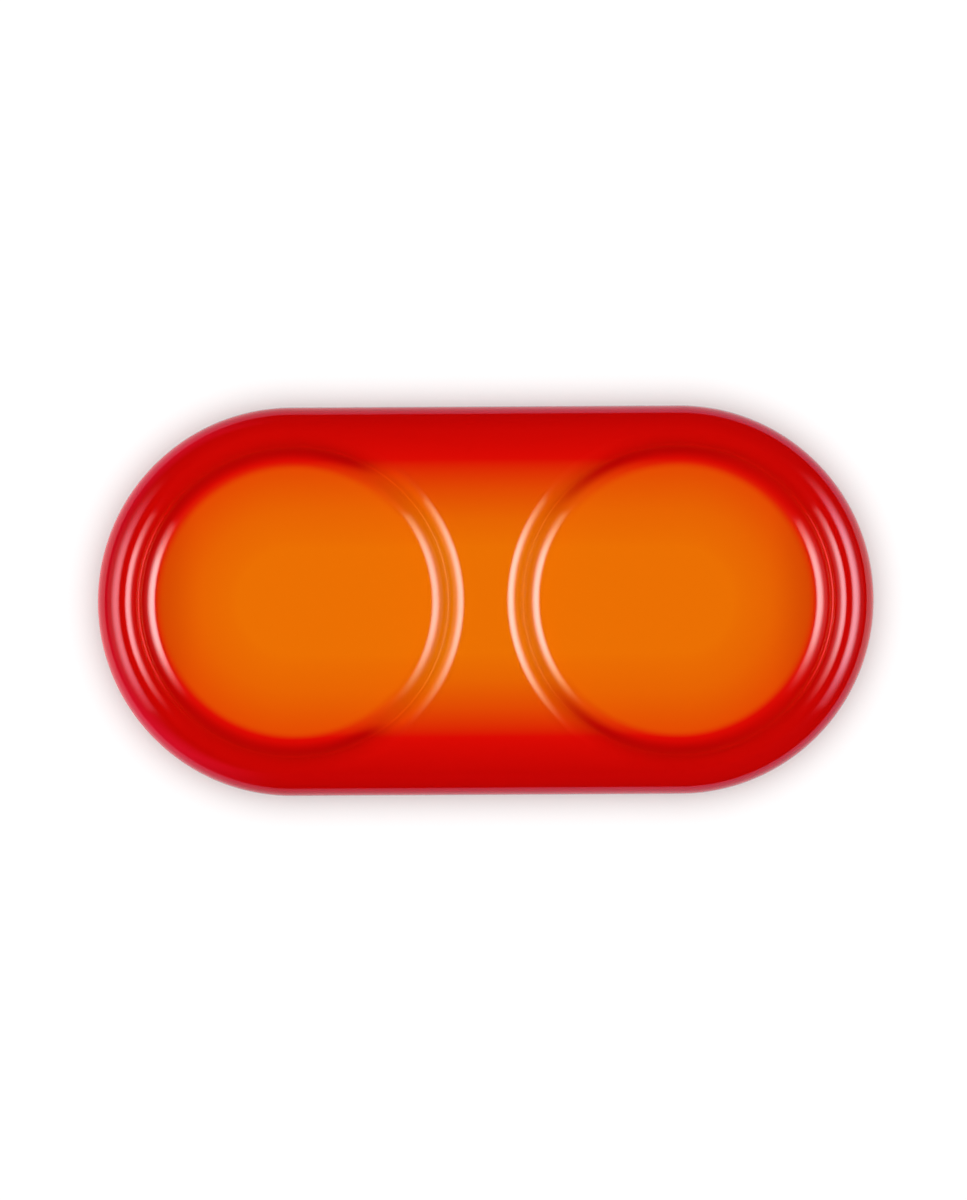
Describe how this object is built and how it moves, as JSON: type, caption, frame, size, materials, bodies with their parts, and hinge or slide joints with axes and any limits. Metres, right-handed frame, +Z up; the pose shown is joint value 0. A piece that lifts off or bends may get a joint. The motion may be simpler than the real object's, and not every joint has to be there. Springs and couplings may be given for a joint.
{
  "type": "pepper mill tray",
  "caption": "Oblong glazed stoneware tray with round shallow wells that hold table mills, a flat bridge between them, a rolled rim and a bare foot ring underneath.",
  "frame": {"origin": "on the table plane under the foot ring, at the middle of the tray", "axes": "+X along the tray from one well to the other, +Y across it, +Z up"},
  "size_m": [0.1756, 0.088, 0.015],
  "materials": {
    "stoneware": "bare fired stoneware, buff, fine grained",
    "red_glaze": "gloss red glaze",
    "orange_glaze": "gloss orange glaze",
    "underside_glaze": "gloss orange glaze"
  },
  "bodies": {
    "root": {"stoneware_body": "stoneware", "rim_glaze": "red_glaze", "inner_glaze": "orange_glaze", "underside_glaze": "underside_glaze"}
  },
  "joints": []
}
